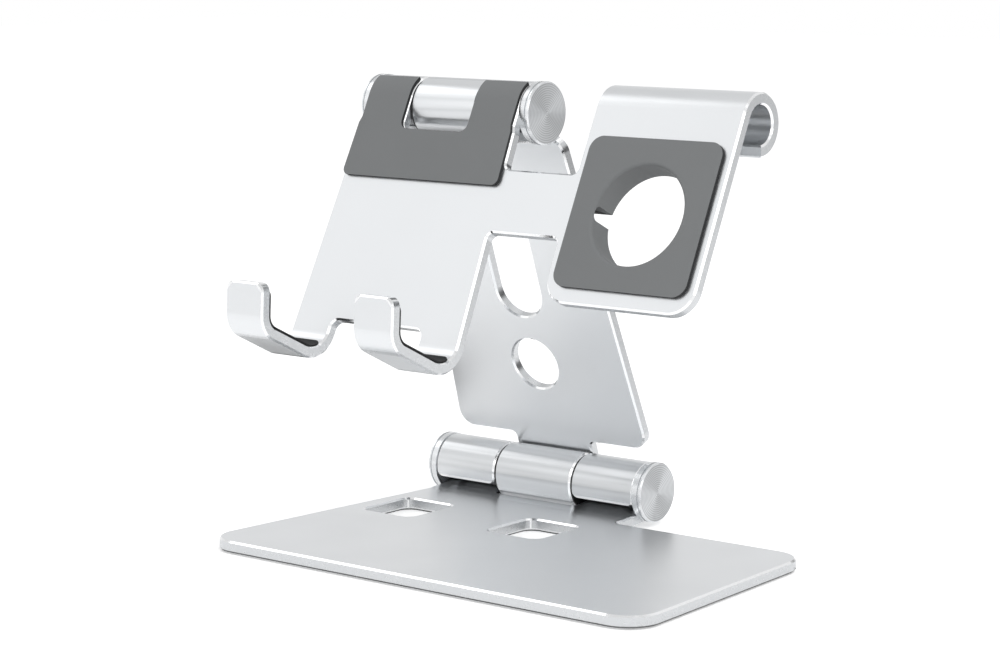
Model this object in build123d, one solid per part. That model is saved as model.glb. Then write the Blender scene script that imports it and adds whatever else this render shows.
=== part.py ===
"""Folding desk stand for a phone and a smartwatch charger.

Three bent aluminium sheets, the base, the arm and the cradle, turn on two friction hinges
whose barrels are rolled from the sheets themselves. Millimetres, +Z up, +X to the right,
+Y to the rear. The origin is the centre of the base's footprint on the table.
"""
from build123d import *
from math import cos, radians, sin, tan
import os

os.makedirs("parts", exist_ok=True)

# Sheet metal
SHEET_T = 3.3
EDGE_BREAK = 0.5
ROOT_R = 1.6

# Base
BASE_WIDTH = 150.0
BASE_TAPER = 5.35
BASE_DEPTH = 85.8
BASE_CORNER_R = 9.5
TAB_INSET = 0.35
TAB_ROOT_R = 2.0
TAB_SLOPE = 5.0
TAB_FLAT = 1.0
TAB_CURL_END = 205.0
TAB_CORNER_R = 2.2
CUTOUT_LENGTH = 21.1
CUTOUT_REAR_MARGIN = 9.6
CUTOUT_CORNER_R = 3.0
CUTOUT_SIDE_CLEARANCE = 2.45
MAT_T = 0.5
MAT_INSET = 3.0
MAT_WINDOW_MARGIN = 1.0

# Hinge barrels
BARREL_R = 8.6
BARREL_LIFT = 1.06
LOWER_AXIS_SETBACK = 17.23
LOWER_HALF_LENGTH = 36.8
LOWER_CENTRE_HALF = 14.05
UPPER_HALF_LENGTH = 27.3
UPPER_CENTRE_HALF = 11.5
SEAM = 0.5
SEAM_WASHER_RECESS = 0.5
TONGUE_CLEARANCE = 0.5

# Hinge hardware
AXLE_R = 2.5
RUNNING_CLEARANCE = 0.05
AXLE_HEAD_R = 4.4
AXLE_HEAD_T = 2.4
AXLE_END = 0.8
NUT_FLATS = 7.0
NUT_T = 3.4
SPRING_WASHER_R = 4.9
SPRING_WASHER_T = 0.5
SPRING_WASHER_CONE = 0.35
CAP_R = 8.8
CAP_FLANGE_T = 3.0
CAP_CHAMFER = 0.4
CAP_GROOVE_FROM_FACE = 0.9
CAP_GROOVE_W = 0.35
CAP_GROOVE_DEPTH = 0.35
CAP_SPIGOT_LENGTH = 4.0
CAP_SPIGOT_WALL = 0.7

# Arm
ARM_LEAN = 19.92
AXIS_DISTANCE = 118.8
ARM_FOOT_HALF = 35.1
ARM_TOP_HALF = 28.1
ARM_FOOT_GAP = 1.75
ARM_TOP_GAP = 1.4
ARM_CORNER_R = 5.0
ARM_CURL_SWEEP = 305.0
ARM_OPENING_R = 8.1
ARM_HOLE_HEIGHT = 35.0
ARM_SLOT_LOW = 58.7
ARM_SLOT_LENGTH = 25.5

# Cradle
CRADLE_LEAN = 25.75
PHONE_TOP_HALF = 27.9
PHONE_FOOT_HALF = 30.1
PHONE_JOG_TOP = 7.4
PHONE_JOG_FOOT = 9.4
HOOK_DROP = 77.5
HOOK_FLOOR = 22.9
HOOK_INNER_R = 6.5
HOOK_SHANK = 1.0
LIP_INNER_R = 4.0
LIP_LEAN = 23.0
LIP_RISE = 10.7
LIP_CORNER_R = 2.5
HOOK_WIDTH = 13.75
HOOK_NOTCH_DROP = 67.5
NECK_NOTCH_DROP = 10.4
NECK_NOTCH_R = 2.5
BRIDGE_TOP = 20.0
BRIDGE_FOOT = 38.2
BRIDGE_LENGTH = 24.3
BRIDGE_FILLET_R = 2.0
WATCH_WIDTH = 47.6
WATCH_DROP = 55.9
WATCH_CORNER_R = 7.2

# Silicone pads
PAD_T = 1.0
PHONE_PAD_DROP = 25.2
PHONE_PAD_WRAP = 39.25
PHONE_PAD_INSET = 0.4
PHONE_PAD_CORNER_R = 2.0
WATCH_PAD_SIZE = 42.6
WATCH_PAD_CORNER_R = 4.0
WATCH_PAD_FOOT_MARGIN = 4.3
PUCK_SEAT_R = 14.0
PUCK_SEAT_DEPTH = 8.1
PUCK_SEAT_RIM_R = 0.9
COLLAR_WALL = 2.0
COLLAR_CLEARANCE = 0.1
CABLE_SLOT_WIDTH = 4.0
CABLE_SLOT_COVER = 0.6
CABLE_SLOT_END_R = 1.5
CABLE_CHANNEL_WALL = 1.5
CABLE_CHANNEL_LENGTH = 7.0
CABLE_CHANNEL_CORNER_R = 1.0
CABLE_NOTCH_LENGTH = 4.5
LINER_T = 0.4
LINER_SIDE_INSET = 0.3
LINER_LIP_INSET = 1.8
LINER_BEND = 55.0
LINER_CORNER_R = 2.0

# Places that follow from the sizes
BORE_R = BARREL_R - SHEET_T
BASE_Z = MAT_T
REAR_Y = BASE_DEPTH / 2
FRONT_HALF = BASE_WIDTH / 2
REAR_HALF = FRONT_HALF - BASE_TAPER
FOLD_X = -REAR_HALF + TAB_INSET + LOWER_HALF_LENGTH
LOWER_Y = REAR_Y + LOWER_AXIS_SETBACK
LOWER_Z = BASE_Z + BARREL_LIFT + BARREL_R
ARM_UP = Vector(0, -sin(radians(ARM_LEAN)), cos(radians(ARM_LEAN)))
ARM_FRONT = Vector(0, -cos(radians(ARM_LEAN)), -sin(radians(ARM_LEAN)))
CRADLE_FRONT = Vector(0, -cos(radians(CRADLE_LEAN)), sin(radians(CRADLE_LEAN)))
LOWER_AXIS = Vector(FOLD_X, LOWER_Y, LOWER_Z)
UPPER_AXIS = LOWER_AXIS + ARM_UP * AXIS_DISTANCE
ARM_FRAME = Plane(LOWER_AXIS, x_dir=(1, 0, 0), z_dir=ARM_FRONT).location
CRADLE_FRAME = Plane(UPPER_AXIS, x_dir=(1, 0, 0), z_dir=CRADLE_FRONT).location
HOOK_OUTER = PHONE_FOOT_HALF
HOOK_INNER = PHONE_FOOT_HALF - HOOK_WIDTH
HOOK_X = (HOOK_OUTER + HOOK_INNER) / 2
NECK_NOTCH_HALF = UPPER_CENTRE_HALF + SEAM
PLATE_RUN = HOOK_DROP - HOOK_INNER_R - HOOK_SHANK - PHONE_JOG_FOOT
PLATE_TAPER = (PHONE_FOOT_HALF - PHONE_TOP_HALF) / PLATE_RUN
BRIDGE_MIDDLE = (BRIDGE_TOP + BRIDGE_FOOT) / 2
WATCH_LEFT = PHONE_TOP_HALF + PLATE_TAPER * (BRIDGE_MIDDLE - PHONE_JOG_FOOT) + BRIDGE_LENGTH
WATCH_X = WATCH_LEFT + WATCH_WIDTH / 2


def side_extrude(section, x0, x1):
    """A section drawn in the (y, z) plane, run along X from x0 to x1."""
    return extrude(Plane.YZ.offset(x0) * section, x1 - x0)


def plate(outline, z0, thickness):
    """An outline drawn in the (x, y) plane, thickened upwards from z0."""
    return extrude(Pos(0, 0, z0) * outline, thickness)


def ring_sector(r_out, r_in, start, end):
    """Part of a ring round the origin, between two angles."""
    outer = CenterArc((0, 0), r_out, start, end - start)
    inner = CenterArc((0, 0), r_in, start, end - start)
    return make_face([outer, Line(outer @ 1, inner @ 1), inner, Line(inner @ 0, outer @ 0)])


def polygon(points):
    """A face with straight sides through the points."""
    return make_face(Polyline(*points, close=True))


def corner(shape, x, y):
    """The vertex of a sketch that lies nearest to a point."""
    return shape.vertices().sort_by_distance((x, y, 0))[0]


def rounded(shape, corners):
    """The sketch with each listed corner (x, y, radius) filleted."""
    for x, y, radius in corners:
        shape = fillet(corner(shape, x, y), radius)
    return shape


def sharp(shape, edge):
    """Whether two faces meet at an angle at this edge."""
    middle = edge @ 0.5
    normals = [f.normal_at(middle) for f in shape.faces() if f.distance_to(middle) < 1e-4]
    return len(normals) == 2 and abs(normals[0].dot(normals[1])) < 0.5


def through_sheet(edge):
    """Whether an edge is a straight one through the sheet's thickness."""
    return edge.geom_type == GeomType.LINE and abs(edge.length - SHEET_T) < 0.01


def break_edges(shape):
    """The sheet with both rims of every cut face chamfered."""
    rims = [e for e in shape.edges() if not through_sheet(e) and sharp(shape, e)]
    return chamfer(rims, EDGE_BREAK)


# Base: flat plate with two windows and a strip that rolls up into the lower hinge's side barrels
def tab_bend_y():
    slope = radians(TAB_SLOPE)
    tangent_y = LOWER_Y + BARREL_R * sin(slope)
    tangent_z = LOWER_Z - BARREL_R * cos(slope) - BASE_Z
    return tangent_y - tangent_z / tan(slope)


def base_outline():
    tab_left = FOLD_X - LOWER_HALF_LENGTH
    tab_right = FOLD_X + LOWER_HALF_LENGTH
    bend = tab_bend_y()
    shape = polygon([(-FRONT_HALF, -REAR_Y), (FRONT_HALF, -REAR_Y), (REAR_HALF, REAR_Y),
                     (tab_right, REAR_Y), (tab_right, bend - TAB_FLAT),
                     (tab_left, bend - TAB_FLAT)])
    return rounded(shape, [(-FRONT_HALF, -REAR_Y, BASE_CORNER_R),
                           (FRONT_HALF, -REAR_Y, BASE_CORNER_R),
                           (REAR_HALF, REAR_Y, BASE_CORNER_R), (tab_right, REAR_Y, TAB_ROOT_R)])


def cutout(side, grow=0.0):
    """One window, behind which a folded hook comes to lie."""
    width = HOOK_WIDTH + 2 * (CUTOUT_SIDE_CLEARANCE + grow)
    length = CUTOUT_LENGTH + 2 * grow
    y = REAR_Y - CUTOUT_REAR_MARGIN - CUTOUT_LENGTH / 2
    return Pos(FOLD_X + side * HOOK_X, y) * RectangleRounded(width, length, CUTOUT_CORNER_R + grow)


def tab_slope_section():
    """The strip from just before its first bend to the barrel's tangent point."""
    slope = radians(TAB_SLOPE)
    bend = tab_bend_y()
    out = (LOWER_Y + BARREL_R * sin(slope), LOWER_Z - BARREL_R * cos(slope))
    inn = (LOWER_Y + BORE_R * sin(slope), LOWER_Z - BORE_R * cos(slope))
    top = (bend - SHEET_T * tan(slope / 2), BASE_Z + SHEET_T)
    start = bend - TAB_FLAT
    return polygon([(start, BASE_Z), (bend, BASE_Z), out, inn, top, (start, BASE_Z + SHEET_T)])


def tongue_end_y():
    """Where the sloping strip is cut off in front of the arm's barrel."""
    slope = radians(TAB_SLOPE)
    reach = ((BARREL_R + TONGUE_CLEARANCE) ** 2 - BORE_R ** 2) ** 0.5
    return LOWER_Y + BORE_R * sin(slope) - reach * cos(slope)


def tab_barrel(x0, x1):
    """One side barrel, with the two corners of its free edge rounded."""
    curl = ring_sector(BARREL_R, BORE_R, TAB_SLOPE - 90, TAB_CURL_END)
    shape = side_extrude(Pos(LOWER_Y, LOWER_Z) * curl, x0, x1)
    corners = [e for e in shape.edges() if through_sheet(e)]
    free = sorted(corners, key=lambda e: e.center().Y)[:2]
    return fillet(free, TAB_CORNER_R)


def base_plate():
    shape = plate(base_outline() - cutout(-1) - cutout(1), BASE_Z, SHEET_T)
    inner = LOWER_CENTRE_HALF + SEAM
    x0, x1 = FOLD_X - LOWER_HALF_LENGTH, FOLD_X + LOWER_HALF_LENGTH
    shape += side_extrude(tab_slope_section(), x0, x1)
    depth = LOWER_AXIS_SETBACK + BARREL_R
    notch = Box(2 * inner, depth, BARREL_R * 2, align=(Align.CENTER, Align.MIN, Align.CENTER))
    shape -= Pos(FOLD_X, tongue_end_y(), BASE_Z) * notch
    for a, b in ((x0, FOLD_X - inner), (FOLD_X + inner, x1)):
        shape += tab_barrel(a, b)
    return break_edges(shape)


def base_mat():
    """Thin anti-slip sheet stuck under the base, open under both windows."""
    footprint = polygon([(-FRONT_HALF, -REAR_Y), (FRONT_HALF, -REAR_Y), (REAR_HALF, REAR_Y),
                         (-REAR_HALF, REAR_Y)])
    sheet = offset(footprint, -MAT_INSET)
    sheet = fillet(sheet.vertices(), BASE_CORNER_R - MAT_INSET)
    for side in (-1, 1):
        sheet -= cutout(side, MAT_WINDOW_MARGIN)
    return plate(sheet, 0, MAT_T)


# Arm: upright sheet with a hole and a slot, rolled forwards into a barrel at each end
def arm_outline():
    foot = BARREL_R + ARM_FOOT_GAP
    top = AXIS_DISTANCE - BARREL_R - ARM_TOP_GAP
    low, high = LOWER_CENTRE_HALF, UPPER_CENTRE_HALF
    right = [(low, 0), (low, foot), (ARM_FOOT_HALF, foot), (ARM_TOP_HALF, top), (high, top),
             (high, AXIS_DISTANCE)]
    shape = polygon(right + [(-x, y) for x, y in reversed(right)])
    for side in (-1, 1):
        shape = rounded(shape, [(side * low, foot, ROOT_R), (side * high, top, ARM_TOP_GAP),
                                (side * ARM_FOOT_HALF, foot, ARM_CORNER_R),
                                (side * ARM_TOP_HALF, top, ARM_CORNER_R)])
    return shape


def arm_openings():
    hole = Pos(0, ARM_HOLE_HEIGHT) * Circle(ARM_OPENING_R)
    middle = ARM_SLOT_LOW + ARM_SLOT_LENGTH / 2
    slot = Pos(0, middle) * Rot(0, 0, 90) * SlotCenterToCenter(ARM_SLOT_LENGTH, 2 * ARM_OPENING_R)
    return hole + slot


def arm():
    shape = plate(arm_outline() - arm_openings(), -BARREL_R, SHEET_T)
    low = ring_sector(BARREL_R, BORE_R, 270 - ARM_CURL_SWEEP, 270)
    high = ring_sector(BARREL_R, BORE_R, -90, ARM_CURL_SWEEP - 90)
    shape += side_extrude(low, -LOWER_CENTRE_HALF, LOWER_CENTRE_HALF)
    shape += side_extrude(Pos(AXIS_DISTANCE, 0) * high, -UPPER_CENTRE_HALF, UPPER_CENTRE_HALF)
    return ARM_FRAME * break_edges(shape)


# Cradle: phone plate with two hooks, and a watch plate beside it on a bridge
def phone_plate_drop():
    """Where the tapered phone plate ends and the straight-sided hooks begin."""
    return HOOK_DROP - HOOK_INNER_R - HOOK_SHANK


def phone_half_width(drop):
    return PHONE_TOP_HALF + PLATE_TAPER * (drop - PHONE_JOG_FOOT)


def phone_outline(foot, inset):
    """The phone plate down to a drop, with a jog that clears the hinge's caps."""
    right = [(UPPER_HALF_LENGTH - inset, 0), (UPPER_HALF_LENGTH - inset, -PHONE_JOG_TOP),
             (PHONE_TOP_HALF - inset, -PHONE_JOG_FOOT), (phone_half_width(foot) - inset, -foot)]
    return polygon(right + [(-x, y) for x, y in reversed(right)])


def watch_outline():
    shape = polygon([(WATCH_LEFT, 0), (WATCH_LEFT + WATCH_WIDTH, 0),
                     (WATCH_LEFT + WATCH_WIDTH, -WATCH_DROP), (WATCH_LEFT, -WATCH_DROP)])
    return rounded(shape, [(WATCH_LEFT, -WATCH_DROP, WATCH_CORNER_R),
                           (WATCH_LEFT + WATCH_WIDTH, -WATCH_DROP, WATCH_CORNER_R)])


def cradle_outline():
    bridge = polygon([(0, -BRIDGE_TOP), (WATCH_X, -BRIDGE_TOP), (WATCH_X, -BRIDGE_FOOT),
                      (0, -BRIDGE_FOOT)])
    shape = phone_outline(phone_plate_drop(), 0) + watch_outline() + bridge
    for drop in (BRIDGE_TOP, BRIDGE_FOOT):
        shape = rounded(shape, [(phone_half_width(drop), -drop, BRIDGE_FILLET_R),
                                (WATCH_LEFT, -drop, BRIDGE_FILLET_R)])
    return shape


def neck_notch(half):
    """The opening at the top that lets the arm's barrel through."""
    shape = polygon([(-half, BARREL_R), (half, BARREL_R), (half, -NECK_NOTCH_DROP),
                     (-half, -NECK_NOTCH_DROP)])
    return rounded(shape, [(half, -NECK_NOTCH_DROP, NECK_NOTCH_R),
                           (-half, -NECK_NOTCH_DROP, NECK_NOTCH_R)])


def hook_notch():
    """The opening between the two hooks, whose corners run out at the hooks' sides."""
    radius = phone_plate_drop() - HOOK_NOTCH_DROP
    below = -HOOK_DROP - 2 * radius
    shape = polygon([(-HOOK_INNER, below), (HOOK_INNER, below),
                     (HOOK_INNER, -HOOK_NOTCH_DROP), (-HOOK_INNER, -HOOK_NOTCH_DROP)])
    return rounded(shape, [(HOOK_INNER, -HOOK_NOTCH_DROP, radius),
                           (-HOOK_INNER, -HOOK_NOTCH_DROP, radius)])


def tray_path(lift, lip_cut):
    """The hook's inner face in (y, z), raised by lift: plate, two corners and lip end."""
    lean = radians(LIP_LEAN)
    foot = BARREL_R + HOOK_FLOOR - lift * tan((radians(90) - lean) / 2)
    rise = LIP_RISE - lip_cut * cos(lean) - lift
    end = (-HOOK_DROP + lift + rise, foot + rise * tan(lean))
    return [(-phone_plate_drop(), BARREL_R + lift), (-HOOK_DROP + lift, BARREL_R + lift),
            (-HOOK_DROP + lift, foot), end]


def hook_section():
    """A hook seen from the side: plate, floor and leaning lip, bent with even thickness."""
    lean = radians(LIP_LEAN)
    top = -phone_plate_drop()
    inner = tray_path(0, 0)
    tip = inner[-1]
    foot = BARREL_R + HOOK_FLOOR + SHEET_T * tan((radians(90) - lean) / 2)
    outer_tip = (tip[0] - SHEET_T * sin(lean), tip[1] + SHEET_T * cos(lean))
    outer = [(top, BORE_R), (-HOOK_DROP - SHEET_T, BORE_R), (-HOOK_DROP - SHEET_T, foot), outer_tip]
    shape = polygon(inner + outer[::-1])
    return rounded(shape, [inner[1] + (HOOK_INNER_R,), inner[2] + (LIP_INNER_R,),
                           outer[1] + (HOOK_INNER_R + SHEET_T,),
                           outer[2] + (LIP_INNER_R + SHEET_T,)])


def hook(side):
    """One hook, with the two corners of its lip rounded."""
    a, b = sorted((side * HOOK_INNER, side * HOOK_OUTER))
    shape = side_extrude(hook_section(), a, b)
    corners = [e for e in shape.edges() if through_sheet(e)]
    tips = sorted(corners, key=lambda e: -e.center().Z)[:2]
    return fillet(tips, LIP_CORNER_R)


def watch_seat():
    """Place of the charger seat's centre on the cradle."""
    return Pos(WATCH_X, -WATCH_DROP + WATCH_PAD_FOOT_MARGIN + WATCH_PAD_SIZE / 2)


def cable_channel(length, clearance):
    """Outline of the cable channel's block, which runs left from the charger seat."""
    half = CABLE_SLOT_WIDTH / 2 + CABLE_CHANNEL_WALL + clearance
    end = -PUCK_SEAT_R - length - clearance
    shape = polygon([(end, -half), (0, -half), (0, half), (end, half)])
    radius = CABLE_CHANNEL_CORNER_R + clearance
    return rounded(shape, [(end, -half, radius), (end, half, radius)])


def seat_opening():
    """The hole in the watch plate for the collar and the cable channel."""
    hole = Circle(PUCK_SEAT_R + COLLAR_WALL + COLLAR_CLEARANCE)
    return watch_seat() * (hole + cable_channel(CABLE_NOTCH_LENGTH, COLLAR_CLEARANCE))


def cradle():
    outline = cradle_outline() - hook_notch() - neck_notch(NECK_NOTCH_HALF) - seat_opening()
    shape = plate(outline, BORE_R, SHEET_T)
    for side in (-1, 1):
        shape += hook(side)
    curl = ring_sector(BARREL_R, BORE_R, CRADLE_LEAN - 180, 90)
    spans = [(-UPPER_HALF_LENGTH, -NECK_NOTCH_HALF), (NECK_NOTCH_HALF, UPPER_HALF_LENGTH),
             (WATCH_LEFT, WATCH_LEFT + WATCH_WIDTH)]
    for a, b in spans:
        shape += side_extrude(curl, a, b)
    return CRADLE_FRAME * break_edges(shape)


# Silicone pads on the cradle
def phone_pad():
    """Pad wrapped over the front of the phone plate's barrels."""
    foot = phone_half_width(PHONE_PAD_DROP)
    outline = phone_outline(PHONE_PAD_DROP, PHONE_PAD_INSET)
    outline = rounded(outline, [(-foot, -PHONE_PAD_DROP, PHONE_PAD_CORNER_R),
                                (foot, -PHONE_PAD_DROP, PHONE_PAD_CORNER_R)])
    shape = plate(outline - neck_notch(NECK_NOTCH_HALF), BARREL_R, PAD_T)
    wrap = ring_sector(BARREL_R + PAD_T, BARREL_R, 90 - PHONE_PAD_WRAP, 90)
    end = UPPER_HALF_LENGTH - PHONE_PAD_INSET
    shape += side_extrude(wrap, -end, -NECK_NOTCH_HALF)
    shape += side_extrude(wrap, NECK_NOTCH_HALF, end)
    return CRADLE_FRAME * shape


def cable_slot():
    """The slot that lets the charger's cable out to the left, open at the back."""
    half = CABLE_SLOT_WIDTH / 2
    front = BARREL_R + PAD_T - CABLE_SLOT_COVER
    rear = BARREL_R + PAD_T - PUCK_SEAT_DEPTH
    section = polygon([(-half, rear), (half, rear), (half, front), (-half, front)])
    section = rounded(section, [(-half, front, CABLE_SLOT_END_R), (half, front, CABLE_SLOT_END_R)])
    return side_extrude(section, -PUCK_SEAT_R - CABLE_CHANNEL_LENGTH, -PUCK_SEAT_R / 2)


def watch_pad():
    """Square pad with the round charger seat, whose collar passes through the watch plate."""
    rear = BARREL_R + PAD_T - PUCK_SEAT_DEPTH
    outline = RectangleRounded(WATCH_PAD_SIZE, WATCH_PAD_SIZE, WATCH_PAD_CORNER_R)
    shape = plate(outline, BARREL_R, PAD_T)
    shape += plate(Circle(PUCK_SEAT_R + COLLAR_WALL), rear, BARREL_R - rear)
    shape += plate(cable_channel(CABLE_NOTCH_LENGTH, 0), BORE_R, SHEET_T)
    shape += plate(cable_channel(CABLE_CHANNEL_LENGTH, 0), rear, BORE_R - rear)
    shape -= plate(Circle(PUCK_SEAT_R), rear, PUCK_SEAT_DEPTH)
    rims = shape.edges().filter_by(GeomType.CIRCLE).sort_by(Axis.Z)
    rim = [e for e in rims if abs(e.radius - PUCK_SEAT_R) < 0.01][-1]
    shape = fillet(rim, PUCK_SEAT_RIM_R) - cable_slot()
    return CRADLE_FRAME * watch_seat() * shape


def above_liner():
    """The part of the hook's bend that the liner leaves bare, from its end up to the plate."""
    angle = radians(LINER_BEND)
    y, z = -HOOK_DROP + HOOK_INNER_R, BARREL_R + HOOK_INNER_R
    far = 2 * HOOK_INNER_R
    return polygon([(y, z), (y - far * cos(angle), z - far * sin(angle)), (y, z - 2 * far),
                    (y + far, z - far), (y + far, z)])


def hook_liner(side):
    """Thin strip on a hook's lip, floor and bend, where the phone stands."""
    low = tray_path(0, LINER_LIP_INSET)
    high = tray_path(LINER_T, 0)
    lean = radians(LIP_LEAN)
    tip = low[-1]
    high[-1] = (tip[0] + LINER_T * sin(lean), tip[1] - LINER_T * cos(lean))
    section = polygon(low + high[::-1])
    section = rounded(section, [low[1] + (HOOK_INNER_R,), high[1] + (HOOK_INNER_R - LINER_T,),
                                low[2] + (LIP_INNER_R,), high[2] + (LIP_INNER_R - LINER_T,)])
    section -= above_liner()
    a, b = sorted((side * (HOOK_INNER + LINER_SIDE_INSET), side * (HOOK_OUTER - LINER_SIDE_INSET)))
    strip = side_extrude(section, a, b)
    ends = [e for e in strip.edges() if abs(e.length - LINER_T) < 0.001]
    return CRADLE_FRAME * fillet(ends, LINER_CORNER_R)


# Hinge hardware, drawn along X with the hinge's middle at the origin
def tube(r_out, r_in, x0, x1):
    ring = Circle(r_out) - Circle(r_in)
    return side_extrude(ring, x0, x1)


def spring_stack():
    """Length of a pair of conical spring washers set mouth to mouth."""
    return 2 * (SPRING_WASHER_T + SPRING_WASHER_CONE)


def sleeve_end(half_length):
    """Where a side sleeve stops, leaving room for the springs, the nut and the cap."""
    return half_length - AXLE_END - NUT_T - spring_stack() - SEAM


def axle(half_length):
    seat = sleeve_end(half_length)
    shank = tube_solid(AXLE_R, -seat, half_length - SEAM)
    return shank + tube_solid(AXLE_HEAD_R, -seat - AXLE_HEAD_T, -seat)


def tube_solid(radius, x0, x1):
    return side_extrude(Circle(radius), x0, x1)


def spring_washers(half_length):
    """Two conical washers as separate solids, wide mouths together."""
    x = sleeve_end(half_length)
    mid = x + SPRING_WASHER_T + SPRING_WASHER_CONE
    washers = []
    for side in (-1, 1):
        tip = mid + side * SPRING_WASHER_CONE
        section = polygon([(tip, AXLE_R), (tip + side * SPRING_WASHER_T, AXLE_R),
                           (mid + side * SPRING_WASHER_T, SPRING_WASHER_R), (mid, SPRING_WASHER_R)])
        washers.append(revolve(section, Axis.X))
    return washers


def nut(half_length):
    x = sleeve_end(half_length) + spring_stack()
    hexagon = RegularPolygon(NUT_FLATS / 2, 6, major_radius=False) - Circle(AXLE_R)
    return side_extrude(hexagon, x, x + NUT_T)


def side_sleeve(half_length, centre_half, side):
    a, b = sorted((side * (centre_half + SEAM), side * sleeve_end(half_length)))
    return tube(BORE_R, AXLE_R, a, b)


def seam_washer(centre_half, side):
    a, b = sorted((side * centre_half, side * (centre_half + SEAM)))
    return tube(BARREL_R - SEAM_WASHER_RECESS, AXLE_R + RUNNING_CLEARANCE, a, b)


def centre_sleeve(centre_half):
    return tube(BORE_R, AXLE_R + RUNNING_CLEARANCE, -centre_half, centre_half)


def end_cap(half_length, side):
    """Turned cap: a grooved flange on the barrel's end and a hollow spigot in its bore."""
    inner = half_length - CAP_SPIGOT_LENGTH
    face = half_length + CAP_FLANGE_T
    groove_out = face - CAP_GROOVE_FROM_FACE
    groove_in = groove_out - CAP_GROOVE_W
    groove_r = CAP_R - CAP_GROOVE_DEPTH
    points = [(inner, BORE_R - CAP_SPIGOT_WALL), (inner, BORE_R), (half_length, BORE_R),
              (half_length, CAP_R), (groove_in, CAP_R), (groove_in, groove_r),
              (groove_out, groove_r), (groove_out, CAP_R), (face - CAP_CHAMFER, CAP_R),
              (face, CAP_R - CAP_CHAMFER), (face, 0), (half_length, 0),
              (half_length, BORE_R - CAP_SPIGOT_WALL)]
    return revolve(polygon([(side * x, r) for x, r in points]), Axis.X)


def hinge(prefix, half_length, centre_half, frame):
    """Every loose piece of one hinge, by node name."""
    pieces = {
        prefix + "_axle": axle(half_length),
        prefix + "_nut": nut(half_length),
        prefix + "_spring_washers": Compound(spring_washers(half_length)),
        prefix + "_sleeve_centre": centre_sleeve(centre_half),
    }
    for name, side in (("left", -1), ("right", 1)):
        pieces[prefix + "_sleeve_" + name] = side_sleeve(half_length, centre_half, side)
        pieces[prefix + "_washer_" + name] = seam_washer(centre_half, side)
        pieces[prefix + "_cap_" + name] = end_cap(half_length, side)
    return {name: frame * shape for name, shape in pieces.items()}


nodes = {
    "base_plate": base_plate(),
    "base_mat": base_mat(),
    "arm": arm(),
    "cradle": cradle(),
    "phone_pad": phone_pad(),
    "watch_pad": watch_pad(),
    "hook_liner_left": hook_liner(-1),
    "hook_liner_right": hook_liner(1),
}
nodes.update(hinge("lower", LOWER_HALF_LENGTH, LOWER_CENTRE_HALF, Pos(LOWER_AXIS)))
nodes.update(hinge("upper", UPPER_HALF_LENGTH, UPPER_CENTRE_HALF, Pos(UPPER_AXIS)))

for name, shape in nodes.items():
    export_step(shape, "parts/" + name + ".step")
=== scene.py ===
"""Dresses the folding phone and watch stand: bead-blasted aluminium with bright-cut edges,
grey silicone pads and turned hinge caps, on a white table in soft studio light."""
import math

import bpy
import numpy as np
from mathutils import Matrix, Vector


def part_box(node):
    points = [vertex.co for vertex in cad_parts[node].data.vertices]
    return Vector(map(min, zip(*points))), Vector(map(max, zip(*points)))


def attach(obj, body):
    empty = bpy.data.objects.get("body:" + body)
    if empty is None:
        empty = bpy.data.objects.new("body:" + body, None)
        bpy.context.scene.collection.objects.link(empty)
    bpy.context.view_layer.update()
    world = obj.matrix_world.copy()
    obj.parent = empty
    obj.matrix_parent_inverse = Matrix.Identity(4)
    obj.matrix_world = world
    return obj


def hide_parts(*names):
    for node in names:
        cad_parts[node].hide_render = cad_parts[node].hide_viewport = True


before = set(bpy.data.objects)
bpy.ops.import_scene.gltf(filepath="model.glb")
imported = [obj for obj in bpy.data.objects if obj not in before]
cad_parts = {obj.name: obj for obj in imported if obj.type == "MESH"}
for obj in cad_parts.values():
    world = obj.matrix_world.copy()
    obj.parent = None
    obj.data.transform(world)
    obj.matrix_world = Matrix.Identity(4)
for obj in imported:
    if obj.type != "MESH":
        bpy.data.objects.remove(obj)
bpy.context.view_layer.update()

# Camera: a 100 mm lens on a 36 mm sensor, not rolled, to the right of the stand and above it.
AZIMUTH, PITCH = math.radians(38.74), math.radians(8.53)
camera = bpy.data.objects.new("camera", bpy.data.cameras.new("camera"))
camera.data.lens, camera.data.sensor_width = 100.0, 36.0
camera.data.clip_start, camera.data.clip_end = 0.05, 20.0
camera.location = (0.46558, -0.58411, 0.17523)
camera.rotation_euler = (math.pi / 2 - PITCH, 0.0, AZIMUTH)
bpy.context.scene.collection.objects.link(camera)
bpy.context.scene.camera = camera
bpy.context.scene.view_settings.view_transform = "Standard"


# Table and studio: a white table top in a white tent, lit by six soft boxes. The tent is a plain
# world. Matt surfaces see it even. Polished metal sees it a little darker towards the top, with
# a dark opening low down at the back on the right.
MATT_STRENGTH = 0.74
TOP_STRENGTH = 0.78
OPENING_STRENGTH = 0.05
OPENING_HEIGHT = 0.20
OPENING_DIRECTION = (0.7, 0.7, 0.0)


def linear(code):
    """An sRGB hex colour as linear RGBA: the sRGB curve undone for each channel."""
    s = np.array([int(code[i:i + 2], 16) for i in (1, 3, 5)]) / 255
    rgb = np.where(s <= 0.04045, s / 12.92, ((s + 0.055) / 1.055) ** 2.4)
    return (*rgb.tolist(), 1.0)


def add(tree, kind, links=(), **settings):
    """Adds one node. Settings are its properties, or its inputs when the name is an input's
    name or number (in0, in1, ...). Links are (input, source socket) pairs."""
    node = tree.nodes.new("ShaderNode" + kind)
    for name, value in settings.items():
        if name.startswith("in") and name[2:].isdigit():
            node.inputs[int(name[2:])].default_value = value
        elif hasattr(node, name):
            setattr(node, name, value)
        else:
            node.inputs[name.replace("_", " ")].default_value = value
    for name, source in links:
        tree.links.new(source, node.inputs[name])
    return node


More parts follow.
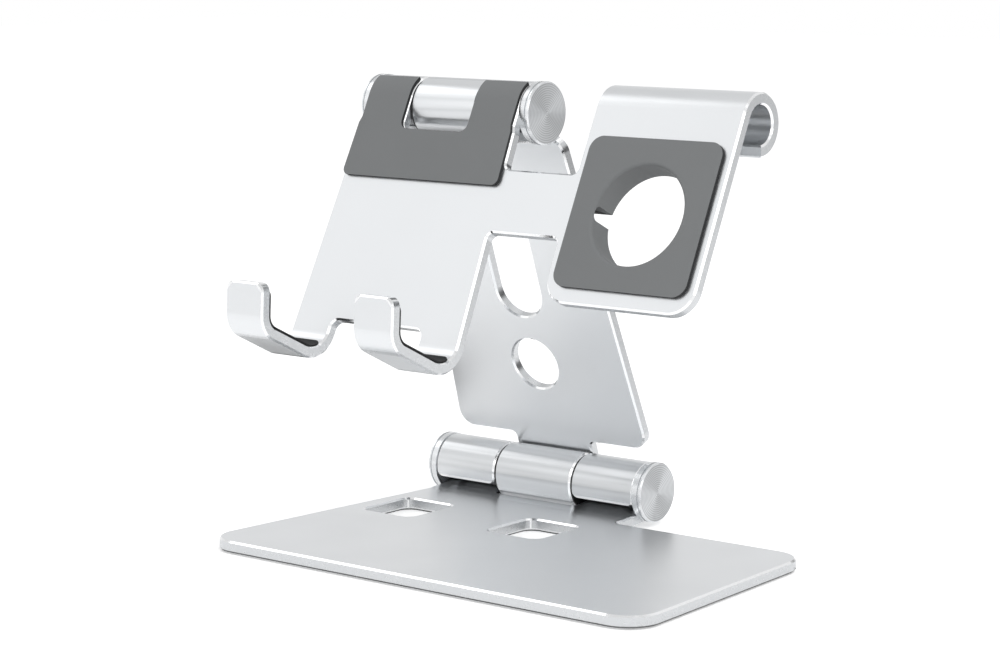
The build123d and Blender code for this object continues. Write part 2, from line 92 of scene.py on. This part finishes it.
world = bpy.data.worlds.new("tent")
bpy.context.scene.world = world
world.use_nodes = True
tree = world.node_tree
tree.nodes.clear()
rays = add(tree, "LightPath")
shown = add(tree, "Math", [(0, rays.outputs["Is Camera Ray"]),
                           (1, rays.outputs["Is Transmission Ray"])], operation="MAXIMUM")
white = add(tree, "Background", Color=linear("#FFFFFF"), Strength=1.0)
direction = add(tree, "TexCoord")
split = add(tree, "SeparateXYZ", [(0, direction.outputs["Generated"])])
# Heights are the Z of a unit direction: 0 at the horizon and 1 straight up.
fabric = add(tree, "MapRange", [(0, split.outputs["Z"])], in1=0.10, in2=0.60, in3=1.0,
             in4=TOP_STRENGTH)
above = add(tree, "Math", [(0, split.outputs["Z"])], operation="SUBTRACT", in1=OPENING_HEIGHT)
away = add(tree, "Math", [(0, above.outputs[0])], operation="ABSOLUTE")
opening = add(tree, "MapRange", [(0, away.outputs[0])], in1=0.12, in2=0.28, in3=OPENING_STRENGTH,
              in4=1.0)
towards = add(tree, "VectorMath", [(0, direction.outputs["Generated"])], operation="DOT_PRODUCT",
              in1=OPENING_DIRECTION)
inside = add(tree, "MapRange", [(0, towards.outputs["Value"])], in1=0.45, in2=0.80)
height = add(tree, "Mix", [(0, inside.outputs[0]), (2, fabric.outputs[0]),
                           (3, opening.outputs[0])])
room = add(tree, "Background", [("Strength", height.outputs[0])], Color=linear("#FFFFFF"))
soft = add(tree, "Background", Color=linear("#FFFFFF"), Strength=MATT_STRENGTH)
glossy = add(tree, "MixShader", [(0, rays.outputs["Is Glossy Ray"]), (1, soft.outputs[0]),
                                 (2, room.outputs[0])])
mix = add(tree, "MixShader", [(0, shown.outputs[0]), (1, glossy.outputs[0]),
                              (2, white.outputs[0])])
add(tree, "OutputWorld", [("Surface", mix.outputs[0])])


def soft_box(name, place, aim, width, height, watts, mirrored=True):
    """A rectangular lamp at a place, turned to face the aim point. One that isn't mirrored
    lights matt surfaces only, as if it stood where no polished face looks."""
    lamp = bpy.data.objects.new(name, bpy.data.lights.new(name, "AREA"))
    lamp.data.shape, lamp.data.size, lamp.data.size_y = "RECTANGLE", width, height
    lamp.data.energy = watts
    lamp.visible_glossy = mirrored
    lamp.location = place
    line = Vector(aim) - Vector(place)
    lamp.rotation_euler = line.to_track_quat("-Z", "Y").to_euler()
    bpy.context.scene.collection.objects.link(lamp)


LAMP_AIM = (0, 0, 0.06)
soft_box("key_box", (-0.75, -0.85, 0.75), LAMP_AIM, 0.9, 0.9, 0.9)
soft_box("fill_box", (0.95, 0.10, 0.60), LAMP_AIM, 0.6, 0.8, 0.6)
soft_box("top_box", (0.0, 0.25, 1.10), LAMP_AIM, 0.9, 0.6, 0.7)
soft_box("window_box", (1.00, -0.40, 1.10), LAMP_AIM, 0.6, 0.6, 6.0, mirrored=False)
soft_box("edge_box", (-0.83, -0.20, 0.98), LAMP_AIM, 0.45, 0.45, 0.7)
soft_box("rim_box", (0.98, -0.61, 0.63), LAMP_AIM, 0.5, 0.5, 0.9)


def new_material(name):
    """A material with empty nodes, and its tree."""
    made = bpy.data.materials.new(name)
    made.use_nodes = True
    made.node_tree.nodes.clear()
    return made, made.node_tree


def flat_object(name, points, faces):
    """A flat object from an array of corner points, and its faces."""
    made = bpy.data.meshes.new(name)
    made.from_pydata(points.tolist(), [], faces)
    lying = bpy.data.objects.new(name, made)
    bpy.context.scene.collection.objects.link(lying)
    return lying


TABLE_HALF = 3.0
LIFT_IN_METAL = 0.8
square = np.array(((-1, -1, 0), (1, -1, 0), (1, 1, 0), (-1, 1, 0))) * TABLE_HALF
table = flat_object("table", square, [(0, 1, 2, 3)])
paint, tree = new_material("white_table")
rays = add(tree, "LightPath")
seen = add(tree, "Math", [(0, rays.outputs["Is Camera Ray"]),
                          (1, rays.outputs["Is Transmission Ray"])], operation="MAXIMUM")
mirrored = add(tree, "Math", [(0, rays.outputs["Is Glossy Ray"]), (2, seen.outputs[0])],
               operation="MULTIPLY_ADD", in1=LIFT_IN_METAL)
matt = add(tree, "BsdfDiffuse", Color=linear("#F4F4F4"))
lift = add(tree, "Emission", [("Strength", mirrored.outputs[0])], Color=linear("#A2A2A2"))
both = add(tree, "AddShader", [(0, matt.outputs[0]), (1, lift.outputs[0])])
add(tree, "OutputMaterial", [("Surface", both.outputs[0])])
table.data.materials.append(paint)

# A dark card lies on the table to the left, behind the stand, and a grey strip runs round the
# base's foot: both are painted shadow, laid where the stand's shadow and its contact shadow
# fall. Only polished metal sees them: the hooks' undersides show a darker tone, and the base's
# lower rim a thin grey line. The strip is the base's outline, drawn a little smaller and a
# little larger about its middle.
low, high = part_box("base_plate")
CARD_HEIGHT, STRIP_HEIGHT = 0.0006, 0.0001
FOOT_DEPTH, FOOT_TAPER, FOOT_CORNER = 0.086, 0.0055, 0.005
STRIP_SCALES = (0.97, 1.012)
shadow_card_corners = np.array(((-0.26, 0.020), (-0.100, 0.020), (-0.100, 0.16), (-0.26, 0.16)))
outline = np.array(((low.x + FOOT_TAPER, FOOT_DEPTH), (low.x, FOOT_CORNER),
                    (low.x + FOOT_CORNER, 0.0), (high.x - FOOT_CORNER, 0.0),
                    (high.x, FOOT_CORNER), (high.x - FOOT_TAPER, FOOT_DEPTH)))
foot_middle = np.array((0.0, FOOT_DEPTH / 2))
rings = [(outline - foot_middle) * scale + foot_middle + (0.0, low.y) for scale in STRIP_SCALES]
heights = np.repeat((CARD_HEIGHT, STRIP_HEIGHT), (len(shadow_card_corners), 2 * len(outline)))
corners = np.column_stack((np.vstack([shadow_card_corners] + rings), heights))
strip = [(i, i + 1, i + 7, i + 6) for i in range(4, 9)]
card = flat_object("dark_card", corners, [(0, 1, 2, 3)] + strip)
card.visible_camera = card.visible_diffuse = card.visible_shadow = False
# The card is painted shadow in black, and the strip is painted contact shadow in grey.
for name, colour in (("black_felt", "#1C1C1C"), ("grey_paper", "#8C8C8C")):
    shadow_paint, tree = new_material(name)
    shadow_bsdf = add(tree, "BsdfDiffuse", Color=linear(colour))
    add(tree, "OutputMaterial", [("Surface", shadow_bsdf.outputs[0])])
    card.data.materials.append(shadow_paint)
card.data.polygons.foreach_set("material_index", [0] + [1] * len(strip))


# Base, arm and cradle: 3.3 mm aluminium sheet, cut, bent and rolled into barrels, then
# bead-blasted and anodised a clear silver. Both rims of every cut are bright-cut, which leaves a
# narrow mirror line round each sheet, and the cut walls between them are a shade duller: partly
# their milled finish, partly painted shade for the shadowed table that they reflect.
SHEET_COLOUR = "#DFE1E3"
RIM_COLOUR = "#F2F3F4"
# Partly painted shade: the walls' duller colour also stands for the shadowed table they reflect.
WALL_COLOUR_AND_SHADE = "#CBCDCF"
# Painted reflection: the roller flats on the barrels are coloured a shade darker.
PAINTED_BAND_COLOUR = "#CBCDCF"
BLAST_GRAIN_MM = 0.30
ROLLER_FLAT_MM = 3.5
CLOUDS_PER_METRE = 45.0
TOOL_LINES_PER_METRE = 1800.0
MILL_LINES_PER_METRE = 1200.0
WIDEST_RIM = 0.00075
HIGHEST_WALL = 0.0034
BARREL_RADIUS = 0.0088


def blasted_aluminium():
    """Satin anodised sheet: metal whose fine blasted pits scatter the reflection evenly. Noise
    at the pits' spacing, drawn a little coarser than real ones, moves the normal. The rollers
    leave faint flats along each barrel, a few mm wide, which break its reflection into
    lengthwise bands, and the flats are also coloured a shade darker as painted reflection. They
    show within a barrel's radius of a hinge axis, left of the hinge's right cap, so the watch
    plate's curl on the same axis stays plain."""
    made, tree = new_material("bead_blasted_anodised_aluminium")
    where = add(tree, "TexCoord").outputs["Object"]
    pits = add(tree, "TexNoise", [("Vector", where)], Scale=1000 / BLAST_GRAIN_MM, Detail=2.0)
    cloud = add(tree, "TexNoise", [("Vector", where)], Scale=CLOUDS_PER_METRE, Detail=3.0)
    gloss = add(tree, "MapRange", [(0, cloud.outputs[0])], in1=0.3, in2=0.7, in3=0.30, in4=0.35)
    bump = add(tree, "Bump", [("Height", pits.outputs[0])], Strength=0.25, Distance=0.00002)
    position = add(tree, "SeparateXYZ", [(0, where)])
    near = []
    for prefix in ("lower", "upper"):
        low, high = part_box(prefix + "_cap_right")
        middle = (low + high) / 2
        offset = add(tree, "VectorMath", [(0, where)], operation="SUBTRACT",
                     in1=(0.0, middle.y, middle.z))
        across = add(tree, "VectorMath", [(0, offset.outputs[0])], operation="MULTIPLY",
                     in1=(0.0, 1.0, 1.0))
        radius = add(tree, "VectorMath", [(0, across.outputs[0])], operation="LENGTH")
        beyond = add(tree, "Math", [(0, position.outputs["X"])], operation="GREATER_THAN",
                     in1=high.x)
        apart = add(tree, "Math", [(0, radius.outputs["Value"]), (1, beyond.outputs[0])],
                    operation="ADD")
        near.append(apart.outputs[0])
    nearest = add(tree, "Math", [(0, near[0]), (1, near[1])], operation="MINIMUM")
    rolled = add(tree, "Math", [(0, nearest.outputs[0])], operation="LESS_THAN",
                 in1=BARREL_RADIUS)
    along = add(tree, "Mapping", [(0, where)], Scale=(0.03, 1.0, 1.0))
    flats = add(tree, "TexNoise", [("Vector", along.outputs[0])], Scale=1000 / ROLLER_FLAT_MM,
                Detail=1.0)
    ridge = add(tree, "Math", [(0, flats.outputs[0]), (1, rolled.outputs[0])], operation="MULTIPLY")
    bands = add(tree, "Bump", [("Height", ridge.outputs[0]), ("Normal", bump.outputs[0])],
                Strength=0.8, Distance=0.0008)
    # Painted reflection: the roller flats are coloured a shade darker.
    painted_band_mask = add(tree, "MapRange", [(0, ridge.outputs[0])], in1=0.44, in2=0.60)
    shade = add(tree, "MixRGB", [(0, painted_band_mask.outputs[0])], in1=linear(SHEET_COLOUR),
                in2=linear(PAINTED_BAND_COLOUR))
    metal = add(tree, "BsdfPrincipled", [("Base Color", shade.outputs[0]),
                                         ("Roughness", gloss.outputs[0]),
                                         ("Normal", bands.outputs[0])], Metallic=1.0)
    add(tree, "OutputMaterial", [("Surface", metal.outputs[0])])
    return made


def bright_cut():
    """Cut by a polished diamond tool after anodising: nearly a mirror, with fine tool lines."""
    made, tree = new_material("bright_cut_aluminium")
    where = add(tree, "TexCoord").outputs["Object"]
    lines = add(tree, "TexNoise", [("Vector", where)], Scale=TOOL_LINES_PER_METRE, Detail=1.0)
    gloss = add(tree, "MapRange", [(0, lines.outputs[0])], in1=0.3, in2=0.7, in3=0.10, in4=0.18)
    metal = add(tree, "BsdfPrincipled", [("Roughness", gloss.outputs[0])],
                Base_Color=linear(RIM_COLOUR), Metallic=1.0)
    add(tree, "OutputMaterial", [("Surface", metal.outputs[0])])
    return made


def milled_wall():
    """The cut walls, milled, with fine lines, and coloured a shade duller than the blasted faces:
    partly the milled finish, partly painted shade.
    """
    made, tree = new_material("milled_aluminium_edge_painted_shade")
    where = add(tree, "TexCoord").outputs["Object"]
    lines = add(tree, "TexNoise", [("Vector", where)], Scale=MILL_LINES_PER_METRE, Detail=1.0)
    gloss = add(tree, "MapRange", [(0, lines.outputs[0])], in1=0.3, in2=0.7, in3=0.26, in4=0.34)
    metal = add(tree, "BsdfPrincipled", [("Roughness", gloss.outputs[0])],
                Base_Color=linear(WALL_COLOUR_AND_SHADE), Metallic=1.0)
    add(tree, "OutputMaterial", [("Surface", metal.outputs[0])])
    return made


def merged_copy(node, name):
    """A CAD node's triangles with shared corners: points equal to a tenth of a micron become
    one vertex, and each corner keeps the exact normal that it had."""
    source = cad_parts[node].data
    count = len(source.polygons)
    points = np.zeros(len(source.vertices) * 3, np.float32)
    source.vertices.foreach_get("co", points)
    points = points.reshape(-1, 3)
    corners = np.zeros(count * 3, np.int32)
    source.loops.foreach_get("vertex_index", corners)
    normals = np.zeros(count * 9, np.float32)
    source.corner_normals.foreach_get("vector", normals)
    _, first, same = np.unique(np.round(points * 1e7).astype(np.int64), axis=0,
                               return_index=True, return_inverse=True)
    faces = same.reshape(-1)[corners].reshape(-1, 3)
    whole = (faces != np.roll(faces, 1, axis=1)).all(axis=1)
    made = bpy.data.meshes.new(name)
    made.from_pydata(points[first].tolist(), [], faces[whole].tolist())
    made.shade_smooth()
    made.normals_split_custom_set(normals.reshape(-1, 3, 3)[whole].reshape(-1, 3).tolist())
    piece = bpy.data.objects.new(name, made)
    bpy.context.scene.collection.objects.link(piece)
    return piece


def triangle_shape(mesh):
    """Each triangle's unit normal, its centre, and its height over its longest side, which is
    twice the area over that side."""
    count = len(mesh.polygons)
    points = np.zeros(len(mesh.vertices) * 3)
    mesh.vertices.foreach_get("co", points)
    index = np.zeros(count * 3, np.int32)
    mesh.loops.foreach_get("vertex_index", index)
    tri = points.reshape(-1, 3)[index].reshape(-1, 3, 3)
    sides = np.linalg.norm(tri - np.roll(tri, 1, axis=1), axis=2)
    cross = np.cross(tri[:, 1] - tri[:, 0], tri[:, 2] - tri[:, 0])
    twice_area = np.linalg.norm(cross, axis=1)
    unit = cross / np.maximum(twice_area, 1e-15)[:, None]
    return unit, tri.mean(axis=1), twice_area / sides.max(axis=1)


def cut_faces(mesh, sheet_normal):
    """Marks each face: 1 for a chamfer, a triangle no higher than the chamfer is wide that
    slants to both the sheet and its walls; 2 for a cut wall, which faces sideways or stands
    square to the flat sheet away from both barrels; 0 for the sheet itself."""
    unit, centre, height = triangle_shape(mesh)
    facing = np.abs(unit @ np.array(sheet_normal))
    across = np.abs(unit[:, 0])
    slanted = ((facing > 0.3) & (facing < 0.95)) | ((across > 0.6) & (across < 0.8))
    flat = np.ones(len(unit), bool)
    for prefix in ("lower", "upper"):
        low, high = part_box(prefix + "_cap_right")
        axis = np.array((low + high) / 2)[1:]
        flat &= np.linalg.norm(centre[:, 1:] - axis, axis=1) > BARREL_RADIUS
    square = flat & (facing < 0.2) & (height < HIGHEST_WALL)
    marks = np.where((across > 0.9) | square, 2, 0)
    marks[(height < WIDEST_RIM) & slanted] = 1
    return marks.astype(np.int32)


sheet_metal, rim_metal, wall_metal = blasted_aluminium(), bright_cut(), milled_wall()
ARM_LEAN, CRADLE_LEAN = math.radians(19.92), math.radians(25.75)
ARM_NORMAL = (0, -math.cos(ARM_LEAN), -math.sin(ARM_LEAN))
CRADLE_NORMAL = (0, -math.cos(CRADLE_LEAN), math.sin(CRADLE_LEAN))
for node, body, normal in (("base_plate", "base", (0, 0, 1)), ("arm", "arm", ARM_NORMAL),
                           ("cradle", "cradle", CRADLE_NORMAL)):
    piece = merged_copy(node, node + "_sheet")
    piece.data.materials.append(sheet_metal)
    piece.data.materials.append(rim_metal)
    piece.data.materials.append(wall_metal)
    piece.data.polygons.foreach_set("material_index", cut_faces(piece.data, normal))
    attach(piece, body)
    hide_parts(node)


# Mat, pads and hook liners: moulded silicone, matt and softly rounded, stuck to the sheet. The
# mat under the base keeps the stand from sliding. The grey pads' cut sides are coloured dark as
# painted shade, which shows as a thin dark line round the pads, and the thin liners in the hooks
# are dark all through.
PAD_COLOUR = "#747677"
# The pads' dark side colour is painted shade.
PAD_SIDE_SHADE_COLOUR = "#2A2B2C"
LINER_COLOUR = "#1E1F20"
MOULD_GRAIN_MM = 0.25
SHEEN_CLOUDS_PER_METRE = 60.0
SEAT_RADIUS = 0.0175


def silicone(name, colour):
    """Moulded silicone: a dielectric with a dull, slightly greasy sheen and a fine spark-eroded
    texture from the mould."""
    made, tree = new_material(name)
    where = add(tree, "TexCoord").outputs["Object"]
    grain = add(tree, "TexNoise", [("Vector", where)], Scale=1000 / MOULD_GRAIN_MM, Detail=2.0)
    cloud = add(tree, "TexNoise", [("Vector", where)], Scale=SHEEN_CLOUDS_PER_METRE, Detail=2.0)
    gloss = add(tree, "MapRange", [(0, cloud.outputs[0])], in1=0.3, in2=0.7, in3=0.62, in4=0.72)
    bump = add(tree, "Bump", [("Height", grain.outputs[0])], Strength=0.3, Distance=0.00002)
    rubber = add(tree, "BsdfPrincipled", [("Roughness", gloss.outputs[0]),
                                          ("Normal", bump.outputs[0])],
                 Base_Color=linear(colour), IOR=1.41)
    add(tree, "OutputMaterial", [("Surface", rubber.outputs[0])])
    return made


def rounded_copy(node, name, width):
    """A merged copy of a CAD node whose sharp edges are rounded over by a small bevel."""
    piece = merged_copy(node, name)
    bevel = piece.modifiers.new("round", "BEVEL")
    bevel.width, bevel.segments, bevel.limit_method = width, 3, "ANGLE"
    bevel.angle_limit = math.radians(40)
    bevel.harden_normals = True
    return piece


def seat_middle(node):
    """The middle of a pad's box, which for the watch pad is close to its seat's middle."""
    low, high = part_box(node)
    return tuple((low + high) / 2)


def outer_walls(mesh, front, middle, radius):
    """The pad's cut sides: faces turned away from the front and outside a cylinder that stands
    on the pad round its middle."""
    count = len(mesh.polygons)
    unit = np.zeros(count * 3)
    mesh.polygons.foreach_get("normal", unit)
    centre = np.zeros(count * 3)
    mesh.polygons.foreach_get("center", centre)
    away = unit.reshape(-1, 3) @ np.array(front) < 0.3
    offset = centre.reshape(-1, 3) - np.array(middle)
    flat = offset - (offset @ np.array(front))[:, None] * np.array(front)
    return away & (np.linalg.norm(flat, axis=1) > radius)


pad_silicone = silicone("grey_silicone", PAD_COLOUR)
# Painted shade for the pads' cut sides.
pad_side_shade = silicone("black_adhesive_edge", PAD_SIDE_SHADE_COLOUR)
liner_silicone = silicone("dark_silicone", LINER_COLOUR)
for node, body, slot_name, rubber, width in (
        ("base_mat", "base", "silicone", pad_silicone, 0.0002),
        ("phone_pad", "cradle", "silicone", pad_silicone, 0.00015),
        ("watch_pad", "cradle", "silicone", pad_silicone, 0.00015),
        ("hook_liner_left", "cradle", "liner", liner_silicone, 0.0001),
        ("hook_liner_right", "cradle", "liner", liner_silicone, 0.0001)):
    piece = rounded_copy(node, node + "_moulding", width)
    piece.data.materials.append(rubber)
    if node.endswith("pad"):
        piece.data.materials.append(pad_side_shade)
        seat = SEAT_RADIUS if node == "watch_pad" else 0.0
        walls = outer_walls(piece.data, CRADLE_NORMAL, seat_middle(node), seat)
        piece.data.polygons.foreach_set("material_index", walls.astype(np.int32))
    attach(piece, body)
    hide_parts(node)


# Hinge caps: turned from aluminium bar and pressed into the barrels. The tool leaves fine
# rings on the face, so its highlight is drawn out into a cross of bright sectors, and the
# grooves are coloured darker as painted shade. The rim outside the face is smooth.
RING_SPACING_MM = 0.62
RING_GROOVE_SHADE_COLOUR = "#BEC0C2"
FACE_RADIUS = 0.00838


def turned_aluminium(name, centre_y, centre_z):
    """Faced on a lathe: rings round the hinge's axis, and gloss stretched across them, so the
    tangent is the offset from the axis. Each ring's groove is coloured a darker grey as painted
    shade. The real rings are finer than a pixel, so these are drawn coarser."""
    made, tree = new_material(name)
    where = add(tree, "TexCoord").outputs["Object"]
    offset = add(tree, "VectorMath", [(0, where)], operation="SUBTRACT",
                 in1=(0.0, centre_y, centre_z))
    across = add(tree, "VectorMath", [(0, offset.outputs[0])], operation="MULTIPLY",
                 in1=(0.0, 1.0, 1.0))
    tangent = add(tree, "VectorMath", [(0, across.outputs[0])], operation="NORMALIZE")
    rings = add(tree, "TexWave", [("Vector", offset.outputs[0])], wave_type="RINGS",
                rings_direction="X", Scale=1000 * math.pi / 10 / RING_SPACING_MM, Distortion=0.0,
                Detail=0.0)
    # Painted shade: the grooves' darker grey stands for the shade in them.
    shade = add(tree, "MixRGB", [(0, rings.outputs[1])], in1=linear(RING_GROOVE_SHADE_COLOUR),
                in2=linear(SHEET_COLOUR))
    bump = add(tree, "Bump", [("Height", rings.outputs[1])], Strength=0.15, Distance=0.00003)
    faced = add(tree, "BsdfPrincipled", [("Base Color", shade.outputs[0]),
                                         ("Normal", bump.outputs[0]),
                                         ("Tangent", tangent.outputs[0])],
                Metallic=1.0, Roughness=0.42, Anisotropic=0.95)
    rim = add(tree, "BsdfPrincipled", Base_Color=linear(SHEET_COLOUR), Metallic=1.0,
              Roughness=0.27)
    radius = add(tree, "VectorMath", [(0, across.outputs[0])], operation="LENGTH")
    outside = add(tree, "Math", [(0, radius.outputs["Value"])], operation="GREATER_THAN",
                  in1=FACE_RADIUS)
    metal = add(tree, "MixShader", [(0, outside.outputs[0]), (1, faced.outputs[0]),
                                    (2, rim.outputs[0])])
    add(tree, "OutputMaterial", [("Surface", metal.outputs[0])])
    return made


for prefix in ("lower", "upper"):
    low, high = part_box(prefix + "_cap_right")
    middle = (low + high) / 2
    turned = turned_aluminium("turned_aluminium_" + prefix, middle.y, middle.z)
    for side in ("left", "right"):
        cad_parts[f"{prefix}_cap_{side}"].data.materials[0] = turned


# Hinge insides: zinc-plated steel axles, nuts and spring washers, moulded grey nylon sleeves
# between the axles and the barrels, and black acetal friction washers in the seams. Only the
# washers' edges show, as thin dark lines.
HAZE_CLOUDS_PER_METRE = 400.0


def plain_finish(name, colour, metallic, roughness):
    """An even finish whose roughness drifts a little from place to place."""
    made, tree = new_material(name)
    where = add(tree, "TexCoord").outputs["Object"]
    cloud = add(tree, "TexNoise", [("Vector", where)], Scale=HAZE_CLOUDS_PER_METRE, Detail=2.0)
    gloss = add(tree, "MapRange", [(0, cloud.outputs[0])], in1=0.3, in2=0.7,
                in3=roughness - 0.05, in4=roughness + 0.05)
    surface = add(tree, "BsdfPrincipled", [("Roughness", gloss.outputs[0])],
                  Base_Color=linear(colour), Metallic=metallic)
    add(tree, "OutputMaterial", [("Surface", surface.outputs[0])])
    return made


plated_steel = plain_finish("zinc_plated_steel", "#C3C5C8", 1.0, 0.3)
grey_nylon = plain_finish("grey_nylon", "#9C9EA0", 0.0, 0.45)
black_acetal = plain_finish("black_acetal", "#1B1B1C", 0.0, 0.45)
for prefix in ("lower", "upper"):
    for name in ("axle", "nut", "spring_washers"):
        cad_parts[f"{prefix}_{name}"].data.materials[0] = plated_steel
    for name in ("sleeve_centre", "sleeve_left", "sleeve_right"):
        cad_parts[f"{prefix}_{name}"].data.materials[0] = grey_nylon
    for name in ("washer_left", "washer_right"):
        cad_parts[f"{prefix}_{name}"].data.materials[0] = black_acetal
